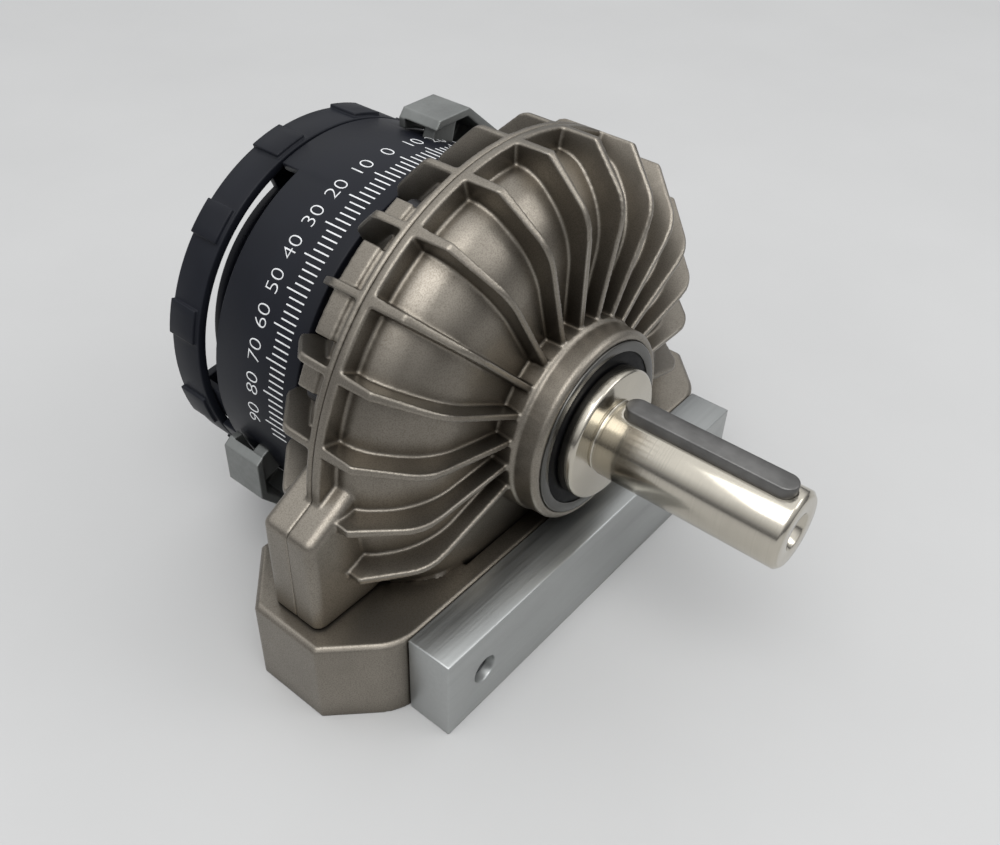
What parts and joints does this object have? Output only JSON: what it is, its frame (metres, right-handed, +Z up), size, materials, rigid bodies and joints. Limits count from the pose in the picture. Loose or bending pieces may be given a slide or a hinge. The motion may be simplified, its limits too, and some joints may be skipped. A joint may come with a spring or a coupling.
{
  "type": "semi-rotary vane drive",
  "caption": "Pneumatic semi-rotary vane drive: ribbed cast housing on a foot with a front bar, keyed shaft, and a black rear scale ring carrying adjustable hooded stops.",
  "frame": {"origin": "on the underside of the foot, below the shaft axis, in the parting plane of the housing halves", "axes": "+Z up, +X along the bar, output shaft towards -Y"},
  "size_m": [0.1586, 0.1553, 0.1214],
  "materials": {
    "cast_alloy": "die-cast, blasted",
    "bar_metal": "drawn and brushed",
    "shaft_steel": "ground and nickel plated",
    "key_steel": "drawn, dull",
    "bearing_steel": "ground",
    "screw_steel": "black oxide",
    "black_plastic": "moulded satin",
    "zinc_casting": "grey, smooth",
    "stop_steel": "milled",
    "seal_rubber": "smooth",
    "vane_alloy": "machined",
    "sleeve_brass": "turned"
  },
  "bodies": {
    "housing": {"front_housing": "cast_alloy", "rear_housing": "cast_alloy", "housing_seal": "seal_rubber", "housing_screws": "screw_steel", "dowel_pins": "bearing_steel", "mounting_foot": "cast_alloy", "foot_screws": "screw_steel", "mounting_bar": "bar_metal", "bar_screws": "screw_steel", "air_sleeves": "sleeve_brass", "stator": "vane_alloy", "stator_seal": "seal_rubber", "end_cushions": "seal_rubber", "front_bearing_outer": "bearing_steel", "rear_bearing_outer": "bearing_steel", "front_bearing_shields": "seal_rubber", "rear_bearing_shields": "seal_rubber", "front_shaft_seal": "seal_rubber", "rear_shaft_seal": "seal_rubber", "scale_ring": "black_plastic", "scale_ring_screws": "screw_steel", "rear_cap": "black_plastic"},
    "rotor": {"drive_shaft": "shaft_steel", "shaft_key": "key_steel", "vane": "vane_alloy", "vane_seal": "seal_rubber", "front_bearing_inner": "bearing_steel", "rear_bearing_inner": "bearing_steel", "shaft_circlip": "bearing_steel", "stop_lever": "stop_steel", "lever_screw": "screw_steel"},
    "top_stop": {"top_stop_bracket": "zinc_casting", "top_stop_nut": "stop_steel", "top_stop_block": "stop_steel", "top_stop_buffer": "seal_rubber", "top_stop_screw": "screw_steel"},
    "left_stop": {"left_stop_bracket": "zinc_casting", "left_stop_nut": "stop_steel", "left_stop_block": "stop_steel", "left_stop_buffer": "seal_rubber", "left_stop_screw": "screw_steel"}
  },
  "joints": [
    {"name": "shaft_turn", "type": "hinge", "parent": "housing", "child": "rotor", "pos_m": [0, 0, 0.0544], "axis": [0, 1, 0], "range_deg": [-45, 45]},
    {"name": "top_stop_slide", "type": "hinge", "parent": "housing", "child": "top_stop", "pos_m": [0, 0, 0.0544], "axis": [0, 1, 0], "range_deg": [0, 20]},
    {"name": "left_stop_slide", "type": "hinge", "parent": "housing", "child": "left_stop", "pos_m": [0, 0, 0.0544], "axis": [0, 1, 0], "range_deg": [-20, 0]}
  ]
}
